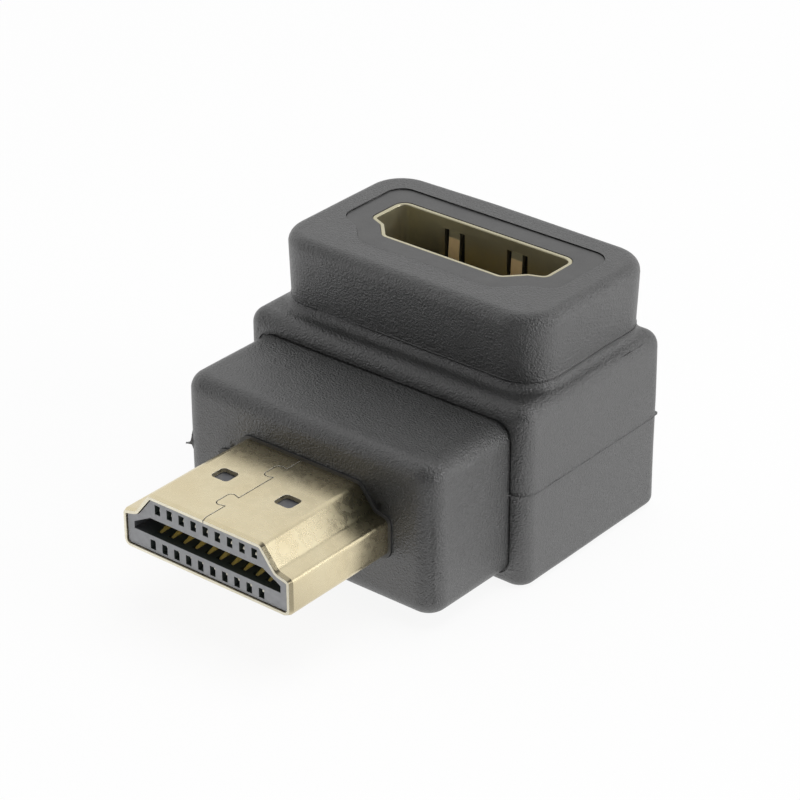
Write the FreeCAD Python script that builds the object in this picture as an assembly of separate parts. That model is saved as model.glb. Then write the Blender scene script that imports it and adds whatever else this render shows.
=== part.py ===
import FreeCAD, Part
import math
import os

# RIGHT ANGLE ADAPTER
# A plug that points to the front is joined to a socket that faces up, inside one
# soft moulding of three stepped blocks. Lengths are in millimetres.
# X runs across the adapter, the plug points along -Y and the socket faces +Z.
# The origin lies on the flat underside, near its middle.

V = FreeCAD.Vector

# BODY BLOCKS
MAIN_BACK = 7.60           # from the origin to the large block's back wall
MAIN_SHELF = 1.85          # from the socket block's front wall out to the large block's
MAIN_LEDGE = 0.75          # from each side of the socket block out to the large block's
MAIN_CORNER = 1.25         # upright corners
MAIN_SOFT = 1.10           # top edge
MAIN_FOOT_SOFT = 0.70      # bottom edge
PLUG_BLOCK_LENGTH = 7.68   # in front of the large block
PLUG_BLOCK_INSET = 1.25    # from each side of the large block
PLUG_BLOCK_DROP = 1.25     # from the large block's top down to this block's
PLUG_BLOCK_LOW = 0.86      # clearance under the block
PLUG_BLOCK_CORNER = 1.60
PLUG_BLOCK_SOFT = 1.20
SOCKET_BLOCK_HEIGHT = 5.17 # above the large block
SOCKET_BLOCK_INSET = 0.15  # from the large block's back wall
SOCKET_BLOCK_EDGE = 2.10   # from the flat face round the socket out to the block's sides
SOCKET_BLOCK_TAPER = 0.22  # how much each wall draws in towards the waist
SOCKET_BLOCK_BOW = 0.20    # how far the middle of its back wall stands out
SOCKET_BLOCK_BOW_LENGTH = 3.26  # curved length each side of that middle
SOCKET_BLOCK_CORNER = 2.80
SOCKET_BLOCK_SOFT = 0.90
SOCKET_FRONT_WALL = 4.185  # from the socket shell's narrow face to the block's front wall
SOCKET_BACK_WALL = 3.715   # from the socket shell's wide face to the block's back wall
WAIST_SOFT = 0.60          # hollow curve where the socket block grows out of the large one
STEP_GROOVE = 0.08         # sharp groove round the plug block, at the large block's face
STEP_GROOVE_DEPTH = 0.12

# MOULD TRACES
FLASH_PROUD = 0.02         # fine line left on the large block where the mould halves meet
FLASH_THICK = 0.10
WAIST_LINE_PROUD = 0.04    # fine ridge round the foot of the socket block
WAIST_LINE_THICK = 0.07
WAIST_LINE_RISE = 0.52     # from the large block's top up to that ridge
TAG_LENGTH = 0.50          # torn upright tag of flash on the plug block's corner
TAG_ABOVE = 0.85           # from the line of flash up to where it starts
TAG_BELOW = 0.80
TAG_DROOP = 0.35           # its point hangs this far under the line of flash
TAG_THICK = 0.25
NIB_LENGTH = 0.16          # worn nib of flash on the large block's back corner
NIB_WIDTH = 0.60
NIB_THICK = 0.22
SPUR_TURN = math.radians(39.5)  # both scraps point out of their corners at this angle

# CONTACT ROWS
CONTACT_PITCH = 1.00
WIDE_ROW_COUNT = 10
NARROW_ROW_COUNT = 9
CONTACT_WIDTH = 0.34
CONTACT_THICK = 0.20

# PLUG INSULATOR
FACE_RECESS = 0.14         # from the shell's tip in to the insulator's face
INSULATOR_OVER = 0.53      # how far the insulator reaches back past the shell
SLOT_LOW = 1.60            # above the plug's wide face
SLOT_HEIGHT = 1.40
SLOT_ROOF = 1.45           # from the slot's roof up to the plug's narrow face
SLOT_END_WALL = 0.90       # from the end of the slot out to the plug's side
SLOT_WALL = 0.55           # height of the slot's upright ends
SLOT_DEPTH = 8.70
POCKET_WIDTH = 0.44
POCKET_HEIGHT = 0.66
POCKET_BEHIND = 1.00       # from the slot's wall out to the far wall of a pocket
POCKET_SKIN = 0.55         # thickness of the face in front of the open grooves

# SHEET SHELLS
SHEET = 0.30
PLUG_END_WALL = 2.45       # from the last contact of the wide row out to the plug's side
PLUG_CREST_WALL = 0.65     # from the last contact of the narrow row to the narrow face's end
PLUG_SHOULDER = 1.80       # from the plug's narrow face down to its upright side walls
PLUG_LEDGE_INSET = 1.10    # from the plug's side in to where the ledge ends
PLUG_LEDGE_RISE = 0.27
PLUG_LOW = 4.60            # height of the plug's wide face above the table
PLUG_OUT = 9.27            # length of shell outside the plug block
PLUG_BURIED = 3.00         # length of shell held in the moulding
TIP_BEVEL = 0.12
TIP_BEVEL_LENGTH = 0.30
SOCKET_CLEARANCE = 0.05    # all round, between a plug and the socket's walls
LEDGE_CLEARANCE = 0.10     # across, between a plug's ledges and the socket's
SOCKET_SIDE_RISE = 0.20    # how much taller the socket's side walls are than the plug's
SOCKET_LEDGE_RISE = 0.42
SOCKET_MATING = 9.10       # from the socket's mouth down to its floor
SOCKET_FLOOR = 1.72        # thickness of that floor, down to the circuit board
SOCKET_SEAT = 0.80         # how far the shell reaches down beside the floor
SOCKET_RIM_DROP = 0.14     # from the block's top down to the shell's rim
SOCKET_RIM_ROUND = 0.10
WIDE_CORNER = 0.60
SIDE_CORNER = 0.35
LEDGE_CORNER = 0.45
CREST_CORNER = 0.50

# SEAM ALONG THE PLUG'S NARROW FACE
SEAM_GAP = 0.07
LOBE_LENGTH = 0.78
LOBE_NECK = 1.15
LOBE_HEAD = 1.60
LOBE_CORNER = 0.28
FIRST_LOBE = 2.65          # from the tip to the middle of the front lobe
LOBE_PITCH = 4.45

# LATCHES
LATCH_HALF_PITCH = 2.60
LATCH_FROM_TIP = 4.85      # from the tip to the middle of a latch hole
LATCH_HOLE_WIDTH = 1.40
LATCH_HOLE_LENGTH = 1.30
LATCH_HOLE_CORNER = 0.30
LATCH_RELIEF = 0.05        # hollow in the insulator under each hole
LATCH_RELIEF_MARGIN = 0.10
SPRING_WIDTH = 1.05
SPRING_SLOT = 0.32
SPRING_TOP = 0.95          # from the socket's mouth down to the slots
SPRING_LENGTH = 4.00
SPRING_BULGE = 0.42        # how far the spring leans into the socket
SPRING_BULGE_DROP = 3.20   # from the top of the slots down to its bulge
SPRING_ROOM = 0.60         # hollow behind each spring

# CONTACT SHAPES
BEAM_START = 0.46          # from the tip of the plug to a beam's nose, in its pocket
BEAM_NOSE_BEHIND = 0.52    # from the slot's wall out to the nose
BEAM_NOSE_WIDTH = 0.17
BEAM_NECK_AT = 0.86        # where the nose turns down towards the slot
BEAM_NECK_BEHIND = 0.46
BEAM_KNEE_AT = 1.00        # where it turns into the beam
BEAM_KNEE_BEHIND = 0.20
BEAM_SPREAD = 0.30         # length over which a beam widens
BEAM_CREST_AT = 2.00
BEAM_CREST_PROUD = 0.12    # how far a beam's contact point stands into the slot
BEAM_ROOT_AT = 6.80
BEAM_ROOT_BEHIND = 0.66
TAIL_BEND_OVER = 0.30      # from the insulator's end back to the bend of a tail
TAIL_STEP = 0.80           # length over which a tail steps in to the board
TAIL_LENGTH = 2.00
TONGUE_CLEARANCE = 0.10    # between the tongue and the plug's slot
TONGUE_RECESS = 2.10       # from the socket's mouth down to the tongue's end
CONTACT_RECESS = 0.45      # from the tongue's end down to a strip's end
STRIP_PROUD = 0.05
SOCKET_TAIL_SPREAD = 0.75  # how far each row of tails steps away from the tongue
TAIL_THROUGH = 0.70        # length of tail under the board

# CIRCUIT BOARD AND SOLDER
BOARD_THICK = 1.00
BOARD_COVER = 0.60         # least thickness of inner moulding round the board's edge
BOARD_FRONT_GAP = 0.10     # from the bend of the plug's tails to the board
TAB_LOW = 1.00             # solder tabs at the back of the plug shell, above its wide face
TAB_HEIGHT = 1.30
TAB_LENGTH = 3.00
LEG_WIDTH = 1.20           # solder legs under the socket shell
LEG_THROUGH = 0.50
LEG_FROM_WIDE = 1.60       # from the socket's wide face to the middle of a leg
HOLE_ROUND = 0.62
BEAD_GAP = 0.38            # between one bead of solder and the next
BEAD_HEIGHT = 0.34
BEAD_LENGTH = 1.50
BEAD_SLOPE = 0.30
CONE_HEIGHT = 0.42
CONE_GAP = 0.10            # between the feet of two cones of solder
CONE_TIP = 0.24            # radius at the end of a cone

# INNER MOULDING
LIP_PROUD = 0.10           # how far the lip stands out round the plug
LIP_WALL = 0.22
CORE_NOSE_WALL = 1.73      # outer moulding in front of the inner one
CORE_NOSE_SIDE = 2.15      # outer moulding beside it, in the plug block
CORE_BELOW = 1.60          # inner moulding under the plug shell
CORE_ABOVE = 1.55          # inner moulding over the plug shell
CORE_SIDE_WALL = 2.20      # outer moulding beside the inner one, in the large block
CORE_BACK_WALL = 1.20
CORE_FRONT_WALL = 0.55
CORE_CORNER = 0.80
PLATE_MARGIN = 1.55        # width of the flat face round the socket shell
PLATE_CORNER = 1.25
PLATE_DROP = 0.12          # from the block's top down to that flat face
WITNESS_WIDTH = 0.08       # fine groove where the two mouldings meet
WITNESS_DEPTH = 0.20

# CONNECTOR SIZES THAT FOLLOW
PLUG_HALF = (WIDE_ROW_COUNT - 1) / 2 * CONTACT_PITCH + PLUG_END_WALL
PLUG_CREST_HALF = (NARROW_ROW_COUNT - 1) / 2 * CONTACT_PITCH + PLUG_CREST_WALL
PLUG_LEDGE_HALF = PLUG_HALF - PLUG_LEDGE_INSET
PLUG_HEIGHT = SLOT_LOW + SLOT_HEIGHT + SLOT_ROOF
PLUG_SIDE = PLUG_HEIGHT - PLUG_SHOULDER
SLOT_HALF = PLUG_HALF - SLOT_END_WALL
SLOT_MIDDLE = SLOT_LOW + SLOT_HEIGHT / 2
POCKET_OUT = SLOT_HEIGHT / 2 + POCKET_BEHIND
SOCKET_HALF = PLUG_HALF + SOCKET_CLEARANCE + SHEET
SOCKET_RISE = PLUG_HEIGHT + 2 * (SOCKET_CLEARANCE + SHEET)
SOCKET_DEPTH = SOCKET_MATING + SOCKET_SEAT
TONGUE_LIFT = SHEET + SOCKET_CLEARANCE
WINDOW_HALF = SPRING_WIDTH / 2 + SPRING_SLOT
WINDOW_END = SPRING_TOP + SPRING_LENGTH + SPRING_SLOT

# BODY SIZES THAT FOLLOW
SOCKET_BLOCK_HALF = SOCKET_HALF + PLATE_MARGIN + SOCKET_BLOCK_EDGE
SOCKET_BLOCK_BACK = MAIN_BACK - SOCKET_BLOCK_INSET
SOCKET_WIDE_FACE = SOCKET_BLOCK_BACK - SOCKET_BACK_WALL
SOCKET_BLOCK_FRONT = SOCKET_RISE + SOCKET_FRONT_WALL - SOCKET_WIDE_FACE
MAIN_HALF = SOCKET_BLOCK_HALF + MAIN_LEDGE
MAIN_FRONT = SOCKET_BLOCK_FRONT + MAIN_SHELF
PLUG_BLOCK_HALF = MAIN_HALF - PLUG_BLOCK_INSET
PLUG_BLOCK_REACH = MAIN_FRONT + PLUG_BLOCK_LENGTH
TIP_Y = -(PLUG_BLOCK_REACH + PLUG_OUT)
PARTING_Z = PLUG_LOW + PLUG_HEIGHT / 2
BOARD_MIDDLE = PLUG_LOW + SLOT_MIDDLE
BOARD_TOP = BOARD_MIDDLE + BOARD_THICK / 2
BOARD_UNDER = BOARD_MIDDLE - BOARD_THICK / 2
BASE_TOP = BOARD_TOP + SOCKET_FLOOR
BASE_MIDDLE = (BASE_TOP + BOARD_TOP) / 2
FACE_Z = BASE_TOP + SOCKET_MATING
MAIN_HEIGHT = FACE_Z - SOCKET_BLOCK_HEIGHT
PLUG_BLOCK_HIGH = MAIN_HEIGHT - PLUG_BLOCK_DROP

# INNER SIZES THAT FOLLOW, WITH DEPTHS TAKEN FROM THE PLUG'S TIP
SHELL_END = PLUG_OUT + PLUG_BURIED
INSULATOR_LENGTH = SHELL_END + INSULATOR_OVER
BEAM_BEND_AT = INSULATOR_LENGTH + TAIL_BEND_OVER
TAIL_START = BEAM_BEND_AT + TAIL_STEP
TAIL_END = TAIL_START + TAIL_LENGTH
CORE_PLUG_FRONT = PLUG_BLOCK_REACH - CORE_NOSE_WALL
CORE_PLUG_HALF = PLUG_BLOCK_HALF - CORE_NOSE_SIDE
CORE_LOW = PLUG_LOW - CORE_BELOW
CORE_HIGH = PLUG_LOW + PLUG_HEIGHT + CORE_ABOVE
CORE_HALF = MAIN_HALF - CORE_SIDE_WALL
CORE_BACK = MAIN_BACK - CORE_BACK_WALL
CORE_FRONT = MAIN_FRONT - CORE_FRONT_WALL
BOARD_FRONT_Y = TIP_Y + TAIL_START + BOARD_FRONT_GAP
BOARD_HALF = CORE_HALF - BOARD_COVER
BOARD_SHOULDER = -CORE_FRONT + BOARD_COVER
BOARD_BACK = CORE_BACK - BOARD_COVER
FAR = 40.0                 # longer than any piece, for cuts that run right through


# OUTLINES
# An outline is a ring of (across, up) points, taken anticlockwise, with a corner radius each.

def unit(a, b):
    length = math.hypot(b[0] - a[0], b[1] - a[1])
    return ((b[0] - a[0]) / length, (b[1] - a[1]) / length)


def inset(ring, depth):
    """The same ring with each side moved inwards, or outwards for a negative depth."""
    moved = []
    for i, (point, radius) in enumerate(ring):
        before = unit(ring[i - 1][0], point)
        after = unit(point, ring[(i + 1) % len(ring)][0])
        turn = before[0] * after[1] - before[1] * after[0]
        lean = 1 + before[0] * after[0] + before[1] * after[1]
        across = point[0] - depth * (before[1] + after[1]) / lean
        up = point[1] + depth * (before[0] + after[0]) / lean
        shift = -depth if turn > 0 else depth
        moved.append(((across, up), max(radius + shift, 0.0)))
    return moved


def wire(ring, place):
    """A closed wire of straight lines and tangent arcs through a ring."""
    starts, edges, corners = [], [], []
    for i, (point, radius) in enumerate(ring):
        back = unit(point, ring[i - 1][0])
        on = unit(point, ring[(i + 1) % len(ring)][0])
        half = math.acos(max(-1.0, min(1.0, back[0] * on[0] + back[1] * on[1]))) / 2
        if radius <= 0:
            corners.append((point, None, point))
            continue
        reach = radius / math.tan(half)
        middle = unit((0, 0), (back[0] + on[0], back[1] + on[1]))
        out = radius / math.sin(half) - radius
        first = (point[0] + back[0] * reach, point[1] + back[1] * reach)
        crown = (point[0] + middle[0] * out, point[1] + middle[1] * out)
        last = (point[0] + on[0] * reach, point[1] + on[1] * reach)
        corners.append((first, crown, last))
    for i, (first, crown, last) in enumerate(corners):
        if crown is not None:
            edges.append(Part.Arc(place(*first), place(*crown), place(*last)).toShape())
        following = place(*corners[(i + 1) % len(corners)][0])
        if (following - place(*last)).Length > 1e-7:
            edges.append(Part.makeLine(place(*last), following))
    return Part.Wire(edges)


def bar(ring, place, travel):
    """A straight solid with a ring as its section."""
    return Part.Face(wire(ring, place)).extrude(travel)


def taper(ring_a, place_a, ring_b, place_b):
    """A solid that runs from one ring to another with as many corners."""
    return Part.makeLoft([wire(ring_a, place_a), wire(ring_b, place_b)], True, True)


def ribbon(points, thick):
    """The ring of a bent strip that follows a line of points."""
    left, right = [], []
    for i, point in enumerate(points):
        before = unit(points[i - 1], point) if i else unit(point, points[1])
        after = unit(point, points[i + 1]) if i < len(points) - 1 else before
        lean = 1 + before[0] * after[0] + before[1] * after[1]
        across = -thick / 2 * (before[1] + after[1]) / lean
        up = thick / 2 * (before[0] + after[0]) / lean
        left.append(((point[0] + across, point[1] + up), 0.0))
        right.append(((point[0] - across, point[1] - up), 0.0))
    return right + left[::-1]


def oblong(half, low, high, corner):
    return [((-half, low), corner), ((half, low), corner),
            ((half, high), corner), ((-half, high), corner)]


def block(x0, x1, y0, y1, z0, z1):
    return Part.makeBox(x1 - x0, y1 - y0, z1 - z0, V(x0, y0, z0))


def level(z):
    """Places (across, back) points at one height."""
    return lambda across, back: V(across, back, z)


def at_plug(depth):
    """Places (across, up) points in the plug's section, a depth back from its tip."""
    return lambda across, up: V(across, TIP_Y + depth, PLUG_LOW + up)


def at_socket(drop):
    """Places (across, up) points in the socket's section, a drop down from its mouth."""
    return lambda across, up: V(across, SOCKET_WIDE_FACE - up, FACE_Z - drop)


def side_view(x):
    """Places (back, height) points in an upright plane that runs front to back."""
    return lambda back, height: V(x, back, height)


def keyed_outline(half, height, side, ledge_half, ledge_rise, crest_half):
    """The connector's section: a wide foot, a ledge each side and a narrow crest."""
    right = [((half, 0.0), WIDE_CORNER), ((half, side), SIDE_CORNER),
             ((ledge_half, side + ledge_rise), LEDGE_CORNER), ((crest_half, height), CREST_CORNER)]
    left = [((-across, up), radius) for (across, up), radius in reversed(right)]
    return right + left


PLUG_OUTLINE = keyed_outline(PLUG_HALF, PLUG_HEIGHT, PLUG_SIDE,
                             PLUG_LEDGE_HALF, PLUG_LEDGE_RISE, PLUG_CREST_HALF)
SOCKET_HOLLOW = keyed_outline(SOCKET_HALF - SHEET, SOCKET_RISE - 2 * SHEET,
                              PLUG_SIDE + SOCKET_SIDE_RISE, PLUG_LEDGE_HALF + LEDGE_CLEARANCE,
                              SOCKET_LEDGE_RISE, PLUG_CREST_HALF + LEDGE_CLEARANCE)
SOCKET_HOLLOW = [((across, up + SHEET), radius) for (across, up), radius in SOCKET_HOLLOW]
SOCKET_OUTLINE = inset(SOCKET_HOLLOW, -SHEET)
SLOT_OUTLINE = [((-SLOT_HALF, SLOT_LOW), 0.0), ((SLOT_HALF, SLOT_LOW), 0.0),
                ((SLOT_HALF, SLOT_LOW + SLOT_WALL), 0.0),
                ((PLUG_CREST_HALF, SLOT_LOW + SLOT_HEIGHT), 0.0),
                ((-PLUG_CREST_HALF, SLOT_LOW + SLOT_HEIGHT), 0.0),
                ((-SLOT_HALF, SLOT_LOW + SLOT_WALL), 0.0)]


def rows():
    """Each contact as (number, x, side): side -1 is the wide row, +1 the narrow one."""
    places = []
    for side, count in ((-1, WIDE_ROW_COUNT), (1, NARROW_ROW_COUNT)):
        for i in range(count):
            places.append((len(places) + 1, (i - (count - 1) / 2) * CONTACT_PITCH, side))
    return places


# OUTER MOULDING

def soften(shape, radius, wanted):
    """Rounds the edges that a test picks out."""
    return shape.makeFillet(radius, [edge for edge in shape.Edges if wanted(edge)])


def lies_at(z):
    return lambda edge: all(abs(vertex.Z - z) < 1e-4 for vertex in edge.Vertexes)


def join_softly(first, second, radius):
    """Fuses two blocks and rounds the hollow corner where they meet."""
    meeting = first.section(second)

    def on_meeting(edge):
        middle = edge.valueAt((edge.FirstParameter + edge.LastParameter) / 2)
        return meeting.distToShape(Part.Vertex(middle))[0] < 1e-4

    return soften(first.fuse(second), radius, on_meeting)


def main_ring():
    return [((-MAIN_HALF, -MAIN_FRONT), MAIN_CORNER), ((MAIN_HALF, -MAIN_FRONT), MAIN_CORNER),
            ((MAIN_HALF, MAIN_BACK), MAIN_CORNER), ((-MAIN_HALF, MAIN_BACK), MAIN_CORNER)]


def plug_ring():
    return [((-PLUG_BLOCK_HALF, -PLUG_BLOCK_REACH), PLUG_BLOCK_CORNER),
            ((PLUG_BLOCK_HALF, -PLUG_BLOCK_REACH), PLUG_BLOCK_CORNER),
            ((PLUG_BLOCK_HALF, 0.0), 0.0), ((-PLUG_BLOCK_HALF, 0.0), 0.0)]


def socket_ring(margin):
    half = SOCKET_BLOCK_HALF - margin
    corner = SOCKET_BLOCK_CORNER - margin
    front = -SOCKET_BLOCK_FRONT + margin
    back = SOCKET_BLOCK_BACK - margin
    flat = half - corner
    sweep = SOCKET_BLOCK_BOW_LENGTH * flat / SOCKET_BLOCK_BOW
    return [((-half, front), corner), ((half, front), corner), ((half, back), corner),
            ((0.0, back + SOCKET_BLOCK_BOW), sweep), ((-half, back), corner)]


def main_block():
    solid = bar(main_ring(), level(0.0), V(0, 0, MAIN_HEIGHT))
    solid = soften(solid, MAIN_SOFT, lies_at(MAIN_HEIGHT))
    return soften(solid, MAIN_FOOT_SOFT, lies_at(0.0))


def plug_block():
    """The block round the plug, run back into the large block."""
    rise = V(0, 0, PLUG_BLOCK_HIGH - PLUG_BLOCK_LOW)
    solid = bar(plug_ring(), level(PLUG_BLOCK_LOW), rise)
    solid = soften(solid, PLUG_BLOCK_SOFT, lies_at(PLUG_BLOCK_HIGH))
    return soften(solid, PLUG_BLOCK_SOFT, lies_at(PLUG_BLOCK_LOW))


def socket_block():
    """The block round the socket: it widens upwards and its top edge is rounded."""
    solid = taper(socket_ring(SOCKET_BLOCK_TAPER), level(MAIN_HEIGHT - MAIN_SOFT),
                  socket_ring(0.0), level(FACE_Z))
    return soften(solid, SOCKET_BLOCK_SOFT, lies_at(FACE_Z))


def flash_line():
    """The fine ridge at the height where the mould halves meet."""
    low = PARTING_Z - FLASH_THICK / 2
    return bar(inset(main_ring(), -FLASH_PROUD), level(low), V(0, 0, FLASH_THICK))


def waist_line():
    """The fine ridge round the foot of the socket block."""
    low = MAIN_HEIGHT + WAIST_LINE_RISE
    drawn_in = SOCKET_BLOCK_TAPER * (FACE_Z - low) / (SOCKET_BLOCK_HEIGHT + MAIN_SOFT)
    return bar(socket_ring(drawn_in - WAIST_LINE_PROUD), level(low), V(0, 0, WAIST_LINE_THICK))


def flash_nib():
    """A thin flat scrap of flash on the large block's back corner."""
    centre = (MAIN_HALF - MAIN_CORNER, MAIN_BACK - MAIN_CORNER)
    out = (math.cos(SPUR_TURN), math.sin(SPUR_TURN))
    base = MAIN_CORNER - FLASH_THICK
    ring = []
    for along, aside in ((base, -NIB_WIDTH / 2), (MAIN_CORNER + NIB_LENGTH, 0.0), (base, NIB_WIDTH / 2)):
        ring.append(((centre[0] + out[0] * along - out[1] * aside,
                      centre[1] + out[1] * along + out[0] * aside), 0.0))
    return bar(ring, level(PARTING_Z - NIB_THICK / 2), V(0, 0, NIB_THICK))


def flash_tag():
    """A torn upright fin of flash on the plug block's front corner."""
    turn = math.pi + SPUR_TURN
    out = V(math.cos(turn), math.sin(turn), 0)
    aside = V(-out.y, out.x, 0)
    start = V(-PLUG_BLOCK_HALF + PLUG_BLOCK_CORNER, -PLUG_BLOCK_REACH + PLUG_BLOCK_CORNER,
              PARTING_Z) - aside * TAG_THICK / 2
    base = PLUG_BLOCK_CORNER - FLASH_THICK
    ring = [((base, -TAG_BELOW), 0.0), ((PLUG_BLOCK_CORNER + TAG_LENGTH, -TAG_DROOP), 0.0),
            ((base, TAG_ABOVE), 0.0)]
    return bar(ring, lambda along, up: start + out * along + V(0, 0, up), aside * TAG_THICK)


def step_groove():
    """The sharp groove round the plug block where it meets the large block."""
    ring = oblong(PLUG_BLOCK_HALF + STEP_GROOVE, PLUG_BLOCK_LOW - STEP_GROOVE,
                  PLUG_BLOCK_HIGH + STEP_GROOVE, PLUG_BLOCK_SOFT)
    return bar(ring, lambda across, up: V(across, -MAIN_FRONT - MAIN_SOFT, up),
               V(0, MAIN_SOFT + STEP_GROOVE_DEPTH, 0))


def plate_recess(plate):
    """The shallow recess over the socket's flat face, and the fine groove round that face."""
    recess = bar(plate, level(FACE_Z - PLATE_DROP), V(0, 0, PLATE_DROP + SHEET))
    groove = bar(inset(plate, -WITNESS_WIDTH), level(FACE_Z - PLATE_DROP - WITNESS_DEPTH),
                 V(0, 0, PLATE_DROP + WITNESS_DEPTH + SHEET))
    return [recess, groove]


def make_overmould(core, plate):
    body = join_softly(main_block(), socket_block(), WAIST_SOFT)
    body = body.cut(step_groove()).fuse([plug_block(), flash_line(), waist_line()])
    body = body.fuse([flash_tag(), flash_nib()])
    return body.cut([core] + plate_recess(plate)).removeSplitter()


# INNER MOULDING

def plate_ring():
    """The flat face round the socket, which follows the socket's own outline."""
    ring = inset(SOCKET_OUTLINE, -PLATE_MARGIN)
    return [((across, SOCKET_WIDE_FACE - up), PLATE_CORNER) for (across, up), _ in ring]


def core_block():
    """The inner moulding as a closed lump, before anything is set in it."""
    nose = bar(oblong(CORE_PLUG_HALF, CORE_LOW, CORE_HIGH, CORE_CORNER),
               lambda across, up: V(across, -CORE_PLUG_FRONT, up),
               V(0, CORE_PLUG_FRONT, 0))
    middle = bar(oblong(CORE_HALF, CORE_LOW, CORE_HIGH, CORE_CORNER),
                 lambda across, up: V(across, -CORE_FRONT, up),
                 V(0, CORE_FRONT + CORE_BACK, 0))
    column = bar(plate_ring(), level(BOARD_TOP), V(0, 0, FACE_Z - PLATE_DROP - BOARD_TOP))
    lip_start = PLUG_OUT - LIP_PROUD
    lip = bar(inset(PLUG_OUTLINE, -LIP_WALL), at_plug(lip_start), V(0, SHELL_END - lip_start, 0))
    return nose.fuse([middle, column, lip]).removeSplitter()


def spring_rooms():
    """The hollows behind the socket's latch springs."""
    rooms = []
    for x in (-LATCH_HALF_PITCH, LATCH_HALF_PITCH):
        for wall, outwards in ((SOCKET_WIDE_FACE, 1), (SOCKET_WIDE_FACE - SOCKET_RISE, -1)):
            near, far = sorted((wall - outwards * SHEET / 2, wall + outwards * SPRING_ROOM))
            rooms.append(block(x - WINDOW_HALF, x + WINDOW_HALF, near, far,
                               FACE_Z - WINDOW_END, FACE_Z - SPRING_TOP))
    return rooms


def make_premould(core, set_in):
    """The inner moulding, closed round everything that is set in it."""
    plug_room = bar(PLUG_OUTLINE, at_plug(0.0), V(0, SHELL_END, 0))
    socket_room = bar(SOCKET_OUTLINE, at_socket(-SHEET), V(0, 0, -SOCKET_DEPTH - SHEET))
    return core.cut([plug_room, socket_room] + spring_rooms() + set_in)


# PLUG

def seam():
    """The thin keyed gap where the ends of the plug's sheet meet."""
    front = TIP_Y - FAR / 4
    back = TIP_Y + FAR
    ring = [((0.0, back), 0.0)]
    for i in (1, 0):
        middle = TIP_Y + FIRST_LOBE + i * LOBE_PITCH
        ring += [((0.0, middle + LOBE_NECK / 2), 0.0),
                 ((-LOBE_LENGTH, middle + LOBE_HEAD / 2), LOBE_CORNER),
                 ((-LOBE_LENGTH, middle - LOBE_HEAD / 2), LOBE_CORNER),
                 ((0.0, middle - LOBE_NECK / 2), 0.0)]
    ring += [((0.0, front), 0.0), ((FAR, front), 0.0), ((FAR, back), 0.0)]
    place = level(PLUG_LOW + PLUG_HEIGHT / 2)
    rise = V(0, 0, PLUG_HEIGHT)
    gap = bar(inset(ring, -SEAM_GAP), place, rise).cut(bar(ring, place, rise))
    window = block(-PLUG_CREST_HALF, PLUG_CREST_HALF, TIP_Y - SHEET, TIP_Y + SHELL_END + SHEET,
                   PLUG_LOW, PLUG_LOW + FAR)
    return gap.common(window)


def latch_holes(margin, low, high):
    """Square holes with rounded corners, in the plug's two broad faces."""
    middle = TIP_Y + LATCH_FROM_TIP
    half = LATCH_HOLE_WIDTH / 2 + margin
    reach = LATCH_HOLE_LENGTH / 2 + margin
    holes = []
    for x in (-LATCH_HALF_PITCH, LATCH_HALF_PITCH):
        ring = [((x + a * half, middle + b * reach), LATCH_HOLE_CORNER)
                for a, b in ((-1, -1), (1, -1), (1, 1), (-1, 1))]
        holes.append(bar(ring, level(low), V(0, 0, high - low)))
    return holes


def make_plug_shell():
    """A wrapped sheet tube with a bevelled tip and two solder tabs."""
    tip = taper(inset(PLUG_OUTLINE, TIP_BEVEL), at_plug(0.0), PLUG_OUTLINE, at_plug(TIP_BEVEL_LENGTH))
    tube = bar(PLUG_OUTLINE, at_plug(TIP_BEVEL_LENGTH), V(0, SHELL_END - TIP_BEVEL_LENGTH, 0))
    hollow = bar(inset(PLUG_OUTLINE, SHEET), at_plug(-SHEET), V(0, SHELL_END + 2 * SHEET, 0))
    shell = tip.fuse(tube).cut([hollow, seam()] + latch_holes(0.0, 0.0, FAR))
    back = TIP_Y + SHELL_END
    for x0 in (-PLUG_HALF, PLUG_HALF - SHEET):
        shell = shell.fuse(block(x0, x0 + SHEET, back - SHEET, back + TAB_LENGTH,
                                 PLUG_LOW + TAB_LOW, PLUG_LOW + TAB_LOW + TAB_HEIGHT))
    return shell.removeSplitter()


def plug_contact(x, side):
    """A spring beam: narrow nose, raised contact point, straight root and stepped tail."""
    tail = BOARD_THICK / 2 + CONTACT_THICK / 2
    slot_wall = SLOT_HEIGHT / 2
    root = slot_wall + BEAM_ROOT_BEHIND
    line = [(BEAM_START, slot_wall + BEAM_NOSE_BEHIND),
            (BEAM_NECK_AT, slot_wall + BEAM_NECK_BEHIND),
            (BEAM_KNEE_AT, slot_wall + BEAM_KNEE_BEHIND),
            (BEAM_CREST_AT, slot_wall - BEAM_CREST_PROUD),
            (BEAM_ROOT_AT, root), (BEAM_BEND_AT, root),
            (TAIL_START, tail), (TAIL_END, tail)]
    points = [(TIP_Y + depth, BOARD_MIDDLE + side * out) for depth, out in line]
    strip = bar(ribbon(points, CONTACT_THICK), side_view(x - CONTACT_WIDTH / 2),
                V(CONTACT_WIDTH, 0, 0))
    right = [((BEAM_NOSE_WIDTH / 2, 0.0), 0.0), ((BEAM_NOSE_WIDTH / 2, BEAM_KNEE_AT), 0.0),
             ((CONTACT_WIDTH / 2, BEAM_KNEE_AT + BEAM_SPREAD), BEAM_SPREAD),
             ((CONTACT_WIDTH / 2, FAR), 0.0)]
    left = [((-across, back), radius) for (across, back), radius in reversed(right)]
    plan = bar(right + left, lambda across, back: V(x + across, TIP_Y + back, 0), V(0, 0, FAR))
    return strip.common(plan)


def groove(x, side, start, near):
    """A channel for one beam, from a depth back to the beam's root."""
    low, high = sorted((BOARD_MIDDLE + side * near, BOARD_MIDDLE + side * POCKET_OUT))
    return block(x - POCKET_WIDTH / 2, x + POCKET_WIDTH / 2, TIP_Y + start,
                 TIP_Y + BEAM_ROOT_AT, low, high)


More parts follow.
